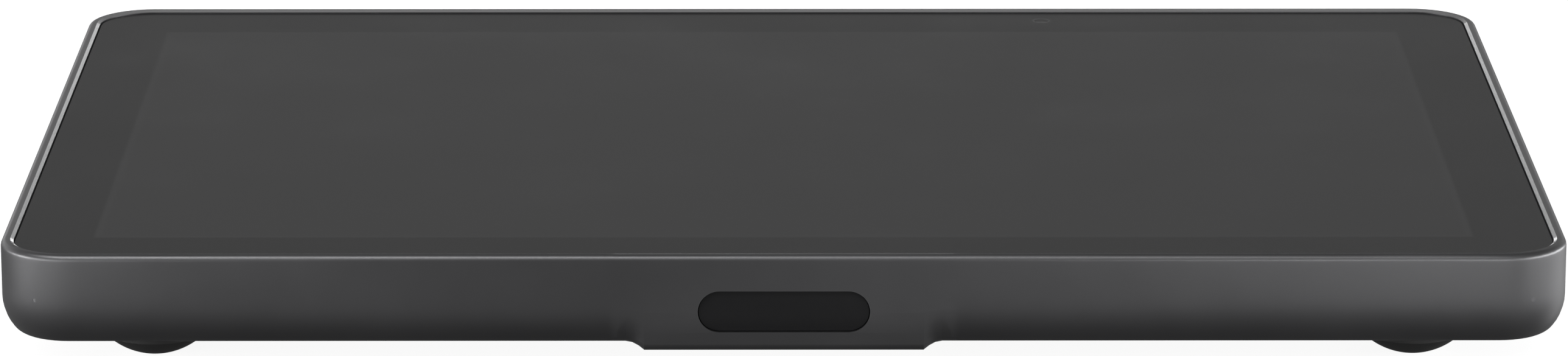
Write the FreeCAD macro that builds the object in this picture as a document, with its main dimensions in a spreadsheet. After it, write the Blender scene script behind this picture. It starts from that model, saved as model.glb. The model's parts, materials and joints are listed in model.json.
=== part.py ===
import FreeCAD, Part
import os
import re
import Sketcher

# Smart display with a 10.1 inch screen, lying on its four rubber feet.
# X runs along the long side, -Y is the front wall, +Z is up through the screen.
# The origin is under the middle of the body, at the level the feet stand on.
# All sizes are in millimetres.

SIZES = {
    # Aluminium tub
    "body_width": 246.0,
    "body_depth": 164.7,
    "body_height": 14.8,
    "corner_radius": 11.0,
    "edge_inset": 3.9,
    "edge_rise": 6.0,
    "edge_small_radius": 2.8,
    "rim_round": 0.9,
    "rim_width": 2.0,
    "rim_chamfer": 0.5,
    "rim_chamfer_drop": 0.3,
    "wall": 4.0,
    "floor_thickness": 1.5,
    # Thick middle section below the sensor window
    "boss_width": 43.7,
    "boss_flare": 3.75,
    "boss_drop": 1.08,
    "boss_length": 22.0,
    "boss_inset": 2.4,
    "boss_rise": 6.6,
    "boss_tuck": 0.02,
    "boss_overlap": 1.0,
    "boss_onset": 2.2,
    "boss_fall": 2.6,
    "boss_steps": 6,
    # Screen stack, from the glass down
    "glass_sink": 0.5,
    "glass_thickness": 1.1,
    "glass_gap": 0.08,
    "glass_edge": 0.2,
    "glue_thickness": 0.3,
    "glue_inset": 0.35,
    "active_width": 216.96,
    "active_depth": 135.6,
    "active_front": 12.75,
    "touch_margin": 2.0,
    "touch_thickness": 0.3,
    "cell_thickness": 1.2,
    "cell_side": 2.6,
    "cell_front": 3.2,
    "cell_back": 1.8,
    "diffuser_thickness": 0.2,
    "guide_thickness": 1.8,
    "tray_thickness": 0.4,
    "tray_gap": 0.2,
    "led_width": 200.0,
    "led_depth": 1.0,
    "led_height": 1.2,
    "foam_width": 196.0,
    "foam_depth": 10.0,
    "foam_pitch": 80.0,
    "foam_thickness": 1.1,
    # Chassis plate and what it carries
    "chassis_width": 225.0,
    "chassis_depth": 144.4,
    "chassis_shift": -3.3,
    "chassis_thickness": 1.0,
    "chassis_corner": 5.0,
    "tab_reach": 8.3,
    "tab_overlap": 1.0,
    "post_radius": 3.0,
    "post_front": 71.0,
    "post_back": 60.0,
    "post_outer": 104.0,
    "post_side": 108.0,
    "post_front_inner": 30.0,
    "post_back_inner": 50.0,
    "screw_radius": 0.8,
    "screw_head_radius": 1.7,
    "screw_head_height": 0.8,
    "screw_length": 3.0,
    "screw_spare": 0.3,
    "screw_clearance": 0.05,
    "screw_passage": 0.25,
    # Main board
    "board_width": 64.0,
    "board_depth": 96.0,
    "board_back": 4.8,
    "board_thickness": 1.0,
    "board_corner": 2.0,
    "board_post_height": 2.6,
    "board_post_radius": 2.5,
    "board_post_x": 27.0,
    "board_post_front": -14.0,
    "board_post_back": 62.0,
    "shield_width": 40.0,
    "shield_depth": 44.0,
    "shield_height": 1.5,
    "shield_wall": 0.25,
    "shield_x": -8.0,
    "shield_y": 24.0,
    "processor_side": 15.0,
    "processor_height": 1.1,
    "pad_side": 30.0,
    # USB-C power inlet in the back wall
    "inlet_width": 8.94,
    "inlet_height": 3.2,
    "inlet_length": 7.35,
    "inlet_wall": 0.3,
    "inlet_sink": 0.8,
    "inlet_clearance": 0.13,
    "tongue_width": 6.7,
    "tongue_height": 0.7,
    "tongue_length": 5.6,
    # Sensor window in the front wall
    "window_width": 26.9,
    "window_height": 6.75,
    "window_level": 5.65,
    "window_gap": 0.15,
    "window_sink": 0.35,
    "window_crown_radius": 11.8,
    "window_flange_width": 30.6,
    "window_flange_height": 5.0,
    "window_flange_depth": 1.0,
    "window_flange_level": 2.2,
    "sensor_width": 24.0,
    "sensor_height": 5.0,
    "sensor_thickness": 0.8,
    # Microphones in the front corners
    "mic_x": 117.0,
    "mic_level": 7.3,
    "mic_hole_radius": 0.3,
    "mic_boot_x": 116.2,
    "mic_boot_width": 4.4,
    "mic_boot_depth": 7.0,
    "mic_boot_height": 4.0,
    "mic_board_width": 5.0,
    "mic_board_height": 4.6,
    "mic_board_thickness": 0.8,
    # Camera and its shutter, behind the glass at the back
    "camera_x": 46.1,
    "camera_inset": 7.8,
    "camera_side": 7.0,
    "camera_height": 3.6,
    "lens_radius": 2.3,
    "lens_height": 0.9,
    "lens_recess": 0.5,
    "lens_opening": 1.5,
    "shutter_travel": 6.5,
    "blade_offset": 8.1,
    "blade_width": 11.6,
    "blade_depth": 5.0,
    "blade_thickness": 0.2,
    "blade_glass_gap": 0.15,
    "leg_offset": 12.4,
    "leg_width": 4.0,
    "leg_thickness": 1.2,
    "leg_wall_gap": 0.2,
    "knob_width": 9.0,
    "knob_height": 3.0,
    "knob_depth": 1.0,
    "knob_sink": 0.3,
    "knob_gap": 0.2,
    "knob_level": 9.2,
    "stem_height": 1.6,
    "knob_rib_radius": 0.3,
    "knob_rib_pitch": 1.5,
    # Buttons in the back wall
    "button_level": 9.2,
    "button_height": 3.4,
    "button_seat": 0.05,
    "button_gap": 0.1,
    "button_flange": 0.7,
    "button_flange_depth": 0.8,
    "button_nub_radius": 1.2,
    "button_nub_length": 0.75,
    "scoop_depth": 0.6,
    "scoop_margin": 1.1,
    "volume_down_x": -92.0,
    "volume_up_x": -78.0,
    "volume_width": 11.0,
    "mute_x": -61.0,
    "mute_width": 8.0,
    "switch_width": 4.5,
    "switch_height": 3.5,
    "switch_depth": 1.5,
    "switch_setback": 2.25,
    "switch_floor": 0.1,
    "plunger_radius": 0.8,
    "plunger_length": 1.5,
    "plunger_clearance": 0.05,
    "keyboard_width": 50.0,
    "keyboard_height": 4.6,
    "keyboard_thickness": 0.8,
    "keyboard_x": -77.0,
    "bracket_width": 62.0,
    "bracket_thickness": 0.6,
    "bracket_screw_pitch": 56.0,
    "rib_width": 5.0,
    # Speakers on the floor of the tub
    "speaker_x": 80.0,
    "speaker_y": -48.0,
    "speaker_width": 56.0,
    "speaker_depth": 30.0,
    "speaker_height": 4.9,
    "speaker_wall": 1.0,
    "ear_length": 6.0,
    "ear_depth": 7.0,
    "ear_thickness": 1.5,
    "ear_post_height": 2.0,
    "ear_post_radius": 2.3,
    "gasket_thickness": 0.5,
    "gasket_width": 2.0,
    "driver_radius": 12.0,
    "driver_height": 2.4,
    "magnet_radius": 7.0,
    "magnet_height": 1.2,
    "magnet_overlap": 0.2,
    "cone_radius": 9.6,
    "cone_floor_radius": 4.2,
    "cone_depth": 1.7,
    "driver_gap": 0.1,
    "vent_width": 1.4,
    "vent_length": 12.0,
    "vent_corner": 0.63,
    "vent_pitch": 4.5,
    # Aerials beside the screen
    "aerial_width": 28.0,
    "aerial_depth": 5.4,
    "aerial_height": 4.4,
    "aerial_left_x": -26.0,
    "aerial_right_x": 84.0,
    "aerial_gap": 0.4,
    # Ribbon cable from the screen to the main board
    "ribbon_x": 19.0,
    "ribbon_width": 9.0,
    "ribbon_thickness": 0.2,
    "ribbon_bow": 2.4,
    "ribbon_rise": 0.3,
    "ribbon_drop": 0.6,
    "notch_margin": 1.0,
    "notch_depth": 3.0,
    "connector_y": -14.0,
    "connector_depth": 4.0,
    "connector_width": 11.0,
    # Feet and the wall-bracket inserts
    "foot_drop": 3.85,
    "foot_radius": 8.0,
    "foot_dome_radius": 11.1,
    "foot_flat_radius": 1.5,
    "foot_seat": 0.6,
    "foot_seat_gap": 0.15,
    "foot_x": 99.0,
    "foot_inset": 11.5,
    "insert_pitch": 75.0,
    "insert_radius": 2.8,
    "insert_bore": 1.65,
    "insert_length": 5.0,
    "insert_post_radius": 4.2,
    "insert_post_height": 5.0,
    "insert_gap": 0.03,
    # How far a cutting shape runs past the face that it opens
    "overshoot": 1.0,
}

# Levels, as formulas of the sizes above.
UNDERSIDE = "foot_drop"
FLOOR = "foot_drop + floor_thickness"
RIM = "foot_drop + body_height"
GLASS_BOTTOM = RIM + " - glass_sink - glass_thickness"
LEDGE = GLASS_BOTTOM + " - glue_thickness"
CELL_BOTTOM = GLASS_BOTTOM + " - touch_thickness - cell_thickness"
GUIDE_BOTTOM = CELL_BOTTOM + " - diffuser_thickness - guide_thickness"
TRAY_BOTTOM = GUIDE_BOTTOM + " - tray_thickness"
CHASSIS_TOP = TRAY_BOTTOM + " - foam_thickness"
CHASSIS_BOTTOM = CHASSIS_TOP + " - chassis_thickness"
BOARD_BOTTOM = FLOOR + " + board_post_height"
BOARD_TOP = BOARD_BOTTOM + " + board_thickness"
SPEAKER_BOTTOM = FLOOR + " + gasket_thickness"

# Turns that lay an upright cylinder along each axis.
TURNS = {
    "x": FreeCAD.Rotation(FreeCAD.Vector(0, 1, 0), 90),
    "y": FreeCAD.Rotation(FreeCAD.Vector(1, 0, 0), -90),
    "z": FreeCAD.Rotation(),
}

# Steps from the middle of a row of speaker vents, and of the ribs on the shutter's knob.
VENT_STEPS = range(-3, 4)
RIB_STEPS = range(-2, 3)

# Planes across the depth.
FRONT = "-body_depth / 2"
BACK = "body_depth / 2"
INNER_FRONT = "wall - body_depth / 2"
INNER_BACK = "body_depth / 2 - wall"
ACTIVE_Y = "active_front - body_depth / 2 + active_depth / 2"

doc = FreeCAD.newDocument("smart_display")
sheet = doc.addObject("Spreadsheet::Sheet", "Sizes")
nodes = []


def fill_sheet():
    for row, (alias, number) in enumerate(SIZES.items(), start=1):
        sheet.set(f"A{row}", alias)
        sheet.set(f"B{row}", str(number))
        sheet.setAlias(f"B{row}", alias)
    doc.recompute()


def size(alias):
    return float(sheet.get(alias))


def bind(item, prop, text):
    """Drives a property with a formula of sheet names."""
    item.setExpression(prop, re.sub(r"(?!sqrt)\b[a-z]\w*", r"Sizes.\g<0>", text))


def place(item, x, y, z):
    for axis, text in zip("xyz", (x, y, z)):
        bind(item, "Placement.Base." + axis, text)


def node(item, name):
    """Marks an object as a finished piece and gives it its name."""
    item.Label = name
    nodes.append(item)
    return item


def block(name, width, depth, height, x, y, z):
    """A box centred on x and y, standing on z."""
    box = doc.addObject("Part::Box", name)
    bind(box, "Length", width)
    bind(box, "Width", depth)
    bind(box, "Height", height)
    place(box, f"{x} - ({width}) / 2", f"{y} - ({depth}) / 2", z)
    return box


def rod(name, radius, length, x, y, z, along="z"):
    """A cylinder that starts at the point given and runs along X, Y or Z."""
    cylinder = doc.addObject("Part::Cylinder", name)
    cylinder.Placement.Rotation = TURNS[along]
    bind(cylinder, "Radius", radius)
    bind(cylinder, "Height", length)
    place(cylinder, x, y, z)
    return cylinder


def fuse(name, pieces):
    joined = doc.addObject("Part::MultiFuse", name)
    joined.Shapes = pieces
    joined.Refine = True
    return joined


def cut(name, base, tool):
    result = doc.addObject("Part::Cut", name)
    result.Base = base
    result.Tool = tool
    return result


def bar(name, width, height, length, x, y, z):
    """An obround bar that runs towards the back from the plane y, centred on x and z."""
    half = f"({width} - ({height})) / 2"
    middle = block(name + "_middle", f"{width} - ({height})", length, height,
                   x, f"{y} + ({length}) / 2", f"{z} - ({height}) / 2")
    ends = [rod(name + "_end", f"({height}) / 2", length, f"{x} {sign} {half}", y, z, "y")
            for sign in "-+"]
    return fuse(name, [middle] + ends)


def origin_plane(body, role):
    return next(item for item in body.Origin.OriginFeatures if item.Role == role)


def rectangle(body, name, width, depth):
    """A rectangle centred on the body's origin, in its base plane."""
    sketch = body.newObject("Sketcher::SketchObject", name)
    sketch.AttachmentSupport = (origin_plane(body, "XY_Plane"), "")
    sketch.MapMode = "FlatFace"
    corners = [FreeCAD.Vector(x, y, 0) for x, y in ((-9, -5), (9, -5), (9, 5), (-9, 5))]
    for start, end in zip(corners, corners[1:] + corners[:1]):
        sketch.addGeometry(Part.LineSegment(start, end))
    for line in range(4):
        sketch.addConstraint(Sketcher.Constraint("Coincident", line, 2, (line + 1) % 4, 1))
        direction = "Vertical" if line % 2 else "Horizontal"
        sketch.addConstraint(Sketcher.Constraint(direction, line))
    sketch.addConstraint(Sketcher.Constraint("Symmetric", 0, 1, 1, 2, -1, 1))
    across = sketch.addConstraint(Sketcher.Constraint("DistanceX", 0, 1, 0, 2, 18.0))
    along = sketch.addConstraint(Sketcher.Constraint("DistanceY", 1, 1, 1, 2, 10.0))
    bind(sketch, f"Constraints[{across}]", width)
    bind(sketch, f"Constraints[{along}]", depth)
    return sketch


def level_edges(feature, level):
    """The names of the feature's flat edges at a level."""
    return [f"Edge{number}" for number, edge in enumerate(feature.Shape.Edges, start=1)
            if edge.BoundBox.ZLength < 1e-4 and abs(edge.BoundBox.ZMin - level) < 1e-4]


def upright_edges(feature):
    """The names of the feature's upright edges."""
    return [f"Edge{number}" for number, edge in enumerate(feature.Shape.Edges, start=1)
            if edge.BoundBox.XLength < 1e-4 and edge.BoundBox.YLength < 1e-4]


def dress(body, kind, name, base, edges, prop, text):
    """Adds a fillet or a chamfer to named edges of the base feature."""
    feature = body.newObject("PartDesign::" + kind, name)
    feature.Base = (base, edges)
    bind(feature, prop, text)
    body.Tip = feature
    doc.recompute()
    return feature


def plate(name, width, depth, height, corner, x, y, z):
    """A flat plate with round corners, centred on x and y and standing on z."""
    body = doc.addObject("PartDesign::Body", name)
    sketch = rectangle(body, name + "_outline", width, depth)
    pad = body.newObject("PartDesign::Pad", name + "_pad")
    pad.Profile = sketch
    bind(pad, "Length", height)
    doc.recompute()
    dress(body, "Fillet", name + "_corners", pad, upright_edges(pad), "Radius", corner)
    place(body, x, y, z)
    return body


def lined_plate(name, inset, height, level):
    """A plate that follows the tub's outline, a fixed inset inside it."""
    return plate(name, f"body_width - 2 * ({inset})", f"body_depth - 2 * ({inset})", height,
                 f"corner_radius - ({inset})", "0", "0", level)


def tub(core):
    """The slab with its rounded rim, the glass recess and the cavity milled into it."""
    slab = lined_plate("slab", "0", "body_height", UNDERSIDE)
    edges = level_edges(slab.Tip, size("body_height"))
    dress(slab, "Fillet", "rim_edge", slab.Tip, edges, "Radius", "rim_round")
    recess = lined_plate("glass_recess", "rim_width", f"{RIM} + overshoot - ({LEDGE})", LEDGE)
    bevel = lined_plate("rim_bevel", "rim_width - rim_chamfer", "rim_chamfer_drop + overshoot",
                        f"{RIM} - rim_chamfer_drop")
    slope = dress(bevel, "Chamfer", "bevel_slope", bevel.Tip, level_edges(bevel.Tip, 0), "Size",
                  "rim_chamfer_drop")
    slope.ChamferType = "Two distances"
    bind(slope, "Size2", "rim_chamfer")
    return cut("tub", slab, fuse("tub_hollow", [recess, bevel, core]))


def lower_edge(x, inset, rise, small, low):
    """The curved lower front edge in the plane x: a large arc, then a small one."""
    front = -size("body_depth") / 2
    large = (inset ** 2 + rise ** 2 - 2 * rise * small) / (2 * (inset - small))
    large_centre = FreeCAD.Vector(x, front + large, low + rise)
    small_centre = FreeCAD.Vector(x, front + inset, low + small)
    joint_way = (small_centre - large_centre).normalize()

    def on_arc(centre, radius, way):
        return centre + way * radius

    def halfway(one, other):
        return (one + other).normalize()

    forward, down = FreeCAD.Vector(0, -1, 0), FreeCAD.Vector(0, 0, -1)
    top = on_arc(large_centre, large, forward)
    joint = on_arc(large_centre, large, joint_way)
    bottom = on_arc(small_centre, small, down)
    first = Part.Arc(top, on_arc(large_centre, large, halfway(forward, joint_way)), joint)
    second = Part.Arc(joint, on_arc(small_centre, small, halfway(joint_way, down)), bottom)
    return top, bottom, [first.toShape(), second.toShape()]


def close_wire(edges, points):
    """Closes a run of edges with straight lines through the points given."""
    for start, end in zip(points, points[1:]):
        edges.append(Part.makeLine(start, end))
    return Part.Wire(edges)


def edge_cutter():
    """What the soft lower edge of the tub leaves away, all round."""
    base, margin = size("foot_drop"), size("overshoot")
    front = -size("body_depth") / 2
    top, bottom, arcs = lower_edge(0, size("edge_inset"), size("edge_rise"),
                                   size("edge_small_radius"), base)
    below = base - margin
    outside = front - margin
    points = [bottom, FreeCAD.Vector(0, bottom.y, below), FreeCAD.Vector(0, outside, below),
              FreeCAD.Vector(0, outside, top.z), top]
    profile = close_wire(arcs, points)
    half_x, half_y = size("body_width") / 2, size("body_depth") / 2
    outline = Part.makePlane(2 * half_x, 2 * half_y, FreeCAD.Vector(-half_x, -half_y, base))
    corner = size("corner_radius")
    edges = []
    centres = [(half_x - corner, corner - half_y, -90), (half_x - corner, half_y - corner, 0),
               (corner - half_x, half_y - corner, 90), (corner - half_x, corner - half_y, 180)]
    previous = FreeCAD.Vector(0, -half_y, base)
    for x, y, start in centres:
        arc = Part.makeCircle(corner, FreeCAD.Vector(x, y, base), FreeCAD.Vector(0, 0, 1),
                              start, start + 90)
        edges += [Part.makeLine(previous, arc.valueAt(arc.FirstParameter)), arc]
        previous = arc.valueAt(arc.LastParameter)
    edges.append(Part.makeLine(previous, FreeCAD.Vector(0, -half_y, base)))
    feature = doc.addObject("Part::Feature", "edge_cutter")
    feature.Shape = Part.Wire(edges).makePipeShell([profile], True, False)
    return feature


def boss_section(x, blend):
    """The thick middle's section in the plane x; blend runs from 0 outside to 1 inside."""
    start = blend ** size("boss_onset")
    ease = start ** 2 * (3 - 2 * start)
    tuck = size("boss_tuck") * (1 - blend)
    inset = size("edge_inset") + (size("boss_inset") - size("edge_inset")) * ease + tuck
    rise = size("edge_rise") + (size("boss_rise") - size("edge_rise")) * ease + tuck
    small = inset * size("edge_small_radius") / size("edge_inset")
    low = size("foot_drop") - size("boss_drop") * blend ** size("boss_fall") + tuck
    top, bottom, arcs = lower_edge(x, inset, rise, small, low)
    end = size("boss_length") - size("body_depth") / 2
    lid = size("foot_drop") + size("edge_rise") + size("boss_overlap")
    points = [bottom, FreeCAD.Vector(x, end, low), FreeCAD.Vector(x, end, lid),
              FreeCAD.Vector(x, top.y, lid), top]
    return close_wire(arcs, points)


def boss():
    """The thick middle of the tub: a straight run with a flared end on each side."""
    half, flare, steps = size("boss_width") / 2, size("boss_flare"), int(size("boss_steps"))
    straight = Part.Face(boss_section(-half, 1)).extrude(FreeCAD.Vector(2 * half, 0, 0))
    ends = []
    for side in (-1, 1):
        sections = [boss_section(side * (half + flare * (1 - step / steps)), step / steps)
                    for step in range(steps + 1)]
        ends.append(Part.makeLoft(sections, True, False))
    feature = doc.addObject("Part::Feature", "boss")
    feature.Shape = straight.fuse(ends)
    return feature


def both_sides(values):
    """Each point, and its mirror image across the YZ plane."""
    return [(f"{sign} * {x}", y) for x, y in values for sign in ("1", "-1")]


CHASSIS_POSTS = both_sides([("post_outer", "-post_front"), ("post_outer", "post_back"),
                            ("post_side", "0"), ("post_front_inner", "-post_front"),
                            ("post_back_inner", "post_back")])
BOARD_POSTS = both_sides([("board_post_x", "board_post_front"),
                          ("board_post_x", "board_post_back")])
EAR_X = "(speaker_width / 2 + ear_length / 2)"
EAR_POSTS = both_sides([(f"(speaker_x - {EAR_X})", "speaker_y"),
                        (f"(speaker_x + {EAR_X})", "speaker_y")])
INSERTS = both_sides([("insert_pitch / 2", "-insert_pitch / 2"),
                      ("insert_pitch / 2", "insert_pitch / 2")])
FEET = {
    "foot_front_left": ("-foot_x", "foot_inset - body_depth / 2"),
    "foot_front_right": ("foot_x", "foot_inset - body_depth / 2"),
    "foot_back_left": ("-foot_x", "body_depth / 2 - foot_inset"),
    "foot_back_right": ("foot_x", "body_depth / 2 - foot_inset"),
}
BUTTONS = {
    "volume_down": ("volume_down_x", "volume_width"),
    "volume_up": ("volume_up_x", "volume_width"),
    "mute": ("mute_x", "mute_width"),
}
BUTTON_Z = UNDERSIDE + " + button_level"
KNOB_Z = UNDERSIDE + " + knob_level"
KNOB_X = "camera_x + leg_offset"
CAMERA_Y = "body_depth / 2 - camera_inset"
WINDOW_Z = UNDERSIDE + " + window_level"
MIC_Z = UNDERSIDE + " + mic_level"
INLET_Z = BOARD_TOP + " + inlet_height / 2"
SWITCH_BACK = INNER_BACK + " - switch_setback"
KEYBOARD_Y = SWITCH_BACK + " - switch_depth - keyboard_thickness"


def rods(name, points, radius, length, z):
    return [rod(f"{name}_{number}", radius, length, x, y, z)
            for number, (x, y) in enumerate(points, start=1)]


def posts():
    """The screw posts and ribs that stand on the floor and the back wall of the tub."""
    pieces = rods("chassis_post", CHASSIS_POSTS, "post_radius",
                  f"{CHASSIS_BOTTOM} - ({FLOOR})", FLOOR)
    pieces += rods("board_post", BOARD_POSTS, "board_post_radius", "board_post_height", FLOOR)
    pieces += rods("ear_post", EAR_POSTS, "ear_post_radius", "ear_post_height", FLOOR)
    pieces += rods("insert_post", INSERTS, "insert_post_radius", "insert_post_height", FLOOR)
    rib_depth = f"({INNER_BACK}) - ({KEYBOARD_Y})"
    for x in bracket_screws():
        pieces.append(block("bracket_rib", "rib_width", rib_depth, "keyboard_height", x,
                            f"{KEYBOARD_Y} + ({rib_depth}) / 2",
                            f"{BUTTON_Z} - keyboard_height / 2"))
    return pieces


def bracket_screws():
    return ["keyboard_x - bracket_screw_pitch / 2", "keyboard_x + bracket_screw_pitch / 2"]


def screw_holes():
    """Blind holes for the screws, a little deeper and wider than the shanks."""
    radius = "screw_radius + screw_clearance"
    depth = "(screw_length + screw_spare)"
    pieces = rods("chassis_hole", CHASSIS_POSTS, radius, depth, f"{CHASSIS_TOP} - {depth}")
    pieces += rods("board_hole", BOARD_POSTS, radius, depth, f"{BOARD_TOP} - {depth}")
    ear_top = f"{FLOOR} + ear_post_height + ear_thickness"
    pieces += rods("ear_hole", EAR_POSTS, radius, depth, f"{ear_top} - {depth}")
    for x in bracket_screws():
        pieces.append(rod("rib_hole", radius, depth, x, KEYBOARD_Y, BUTTON_Z, "y"))
    return pieces


def underside_openings():
    """Foot seats, insert holes and the speaker vents."""
    pieces = rods("foot_seat", FEET.values(), "foot_radius + foot_seat_gap",
                  "foot_seat + overshoot", f"{UNDERSIDE} - overshoot")
    pieces += rods("insert_hole", INSERTS, "insert_radius + insert_gap",
                   "insert_length + insert_gap + overshoot", f"{UNDERSIDE} - overshoot")
    for side in ("1", "-1"):
        for step in VENT_STEPS:
            pieces.append(plate("vent", "vent_width", "vent_length",
                                "floor_thickness + 2 * overshoot", "vent_corner",
                                f"{side} * speaker_x + {step} * vent_pitch", "speaker_y",
                                f"{UNDERSIDE} - overshoot"))
    return pieces


def front_openings():
    """The sensor window's slot and the two microphone holes."""
    pieces = [bar("window_slot", "window_width", "window_height", "wall + 2 * overshoot", "0",
                  f"{FRONT} - overshoot", WINDOW_Z)]
    for side in ("1", "-1"):
        pieces.append(rod("mic_hole", "mic_hole_radius", "2 * wall + overshoot", f"{side} * mic_x",
                          f"{FRONT} - overshoot", MIC_Z, "y"))
    return pieces


def back_openings():
    """The power inlet, the buttons and the shutter's slot."""
    pieces = [bar("inlet_opening", "inlet_width + 2 * inlet_clearance",
                  "inlet_height + 2 * inlet_clearance", "wall + 2 * overshoot", "0",
                  f"{INNER_BACK} - overshoot", INLET_Z)]
    for name, (x, width) in BUTTONS.items():
        pieces.append(bar(name + "_hole", f"{width} + 2 * button_gap",
                          "button_height + 2 * button_gap", "wall + 2 * overshoot", x,
                          f"{INNER_BACK} - overshoot", BUTTON_Z))
    scoop_height = "button_height + 2 * scoop_margin"
    pieces.append(bar("volume_scoop",
                      "volume_up_x - volume_down_x + volume_width + 2 * scoop_margin",
                      scoop_height, "scoop_depth + overshoot", "(volume_down_x + volume_up_x) / 2",
                      f"{BACK} - scoop_depth", BUTTON_Z))
    pieces.append(bar("mute_scoop", "mute_width + 2 * scoop_margin", scoop_height,
                      "scoop_depth + overshoot", "mute_x", f"{BACK} - scoop_depth", BUTTON_Z))
    middle = f"{KNOB_X} - shutter_travel / 2"
    recess_depth = "knob_sink + knob_depth + knob_gap"
    pieces.append(block("knob_recess", "knob_width + shutter_travel + 2 * knob_gap",
                        f"{recess_depth} + overshoot", "knob_height + 2 * knob_gap", middle,
                        f"{BACK} - ({recess_depth} - overshoot) / 2",
                        f"{KNOB_Z} - knob_height / 2 - knob_gap"))
    pieces.append(block("stem_slot", "leg_width + shutter_travel + 2 * knob_gap",
                        "wall + 2 * overshoot", "stem_height + 2 * knob_gap", middle,
                        f"{BACK} - wall / 2",
                        f"{KNOB_Z} - stem_height / 2 - knob_gap"))
    return pieces


def cavity_core():
    """The space inside the tub, which its inner pieces are trimmed to."""
    return lined_plate("cavity_core", "wall", "body_height", FLOOR)


def housing(core):
    trimmed = cut("soft_tub", tub(core), edge_cutter())
    middle = cut("open_boss", boss(), core)
    shell = fuse("shell", [trimmed, middle] + posts())
    openings = screw_holes() + underside_openings() + front_openings() + back_openings()
    node(cut("housing", shell, fuse("openings", openings)), "housing")


def screen_stack():
    """The cover glass and everything laminated or stacked below it."""
    glass = lined_plate("cover_glass", "rim_width + glass_gap", "glass_thickness",
                        GLASS_BOTTOM)
    edges = level_edges(glass.Tip, size("glass_thickness"))
    dress(glass, "Chamfer", "glass_edge", glass.Tip, edges, "Size", "glass_edge")
    node(glass, "cover_glass")
    sheet_of_glue = lined_plate("glue_outline", "rim_width + glue_inset", "glue_thickness",
                                LEDGE)
    window = lined_plate("glue_window", "wall", "glue_thickness + 2 * overshoot",
                         f"{LEDGE} - overshoot")
    node(cut("glass_adhesive", sheet_of_glue, window), "glass_adhesive")
    node(block("touch_sensor", "active_width + 2 * touch_margin",
               "active_depth + 2 * touch_margin", "touch_thickness", "0", ACTIVE_Y,
               f"{GLASS_BOTTOM} - touch_thickness"), "touch_sensor")
    width = "active_width + 2 * cell_side"
    depth = "active_depth + cell_front + cell_back"
    middle = f"{ACTIVE_Y} + (cell_back - cell_front) / 2"
    node(block("lcd_panel", width, depth, "cell_thickness", "0", middle, CELL_BOTTOM),
         "lcd_panel")
    backlight(width, depth, middle)


def backlight(width, depth, middle):
    """The light guide, its diffuser and its lamps in a steel tray."""
    margin = "2 * (tray_thickness + tray_gap)"
    space = "led_depth + tray_gap"
    guide_width, guide_depth = f"{width} - {margin}", f"{depth} - {margin} - {space}"
    guide_middle = f"{middle} + ({space}) / 2"
    for name, height, level in (("diffuser_sheet", "diffuser_thickness",
                                 f"{CELL_BOTTOM} - diffuser_thickness"),
                                ("light_guide", "guide_thickness", GUIDE_BOTTOM)):
        node(block(name, guide_width, guide_depth, height, "0", guide_middle, level), name)
    front_edge = f"{middle} - ({depth}) / 2 + tray_thickness + tray_gap / 2"
    node(block("led_strip", "led_width", "led_depth", "led_height", "0",
               f"{front_edge} + led_depth / 2", GUIDE_BOTTOM), "led_strip")
    tray = block("tray_outside", width, depth, f"{CELL_BOTTOM} - ({TRAY_BOTTOM})", "0",
                 middle, TRAY_BOTTOM)
    inside = block("tray_inside", f"{width} - 2 * tray_thickness",
                   f"{depth} - 2 * tray_thickness", "guide_thickness + 2 * overshoot", "0", middle,
                   GUIDE_BOTTOM)
    node(cut("backlight_tray", tray, inside), "backlight_tray")
    strips = [block("foam_strip", "foam_width", "foam_depth", "foam_thickness", "0",
                    f"{ACTIVE_Y} {sign} foam_pitch / 2", CHASSIS_TOP) for sign in "-+"]
    node(fuse("panel_foam", strips), "panel_foam")


def screws(name, points, z):
    """A group of pan-head screws whose heads stand on the level z."""
    pieces = []
    for number, (x, y) in enumerate(points, start=1):
        head = rod(f"{name}_head", "screw_head_radius", "screw_head_height", x, y, z)
        shank = rod(f"{name}_shank", "screw_radius", "screw_length + screw_head_height / 2",
                    x, y, f"{z} - screw_length")
        pieces.append(fuse(f"{name}_{number}", [head, shank]))
    node(fuse(name, pieces), name)


def chassis():
    """The aluminium plate that carries the screen, with tabs for what stands behind it."""
    edge = "chassis_shift + chassis_depth / 2"
    front_edge = "chassis_shift - chassis_depth / 2"
    sheet_metal = plate("chassis_plate", "chassis_width", "chassis_depth",
                        "chassis_thickness", "chassis_corner", "0", "chassis_shift",
                        CHASSIS_BOTTOM)
    tabs = [block("chassis_tab", width, "tab_reach + tab_overlap", "chassis_thickness", x,
                  f"{edge} + (tab_reach - tab_overlap) / 2", CHASSIS_BOTTOM)
            for x, width in (("aerial_left_x", "aerial_width"), ("camera_x", "camera_side"),
                             ("aerial_right_x", "aerial_width"))]
    holes = rods("passage", CHASSIS_POSTS, "screw_radius + screw_passage",
                 "chassis_thickness + 2 * overshoot", f"{CHASSIS_BOTTOM} - overshoot")
    holes.append(block("ribbon_notch", "ribbon_width + 2 * notch_margin", "2 * notch_depth",
                       "chassis_thickness + 2 * overshoot", "ribbon_x", front_edge,
                       f"{CHASSIS_BOTTOM} - overshoot"))
    joined = fuse("chassis_metal", [sheet_metal] + tabs)
    node(cut("chassis", joined, fuse("chassis_openings", holes)), "chassis")
    screws("chassis_screws", CHASSIS_POSTS, CHASSIS_TOP)


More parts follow.
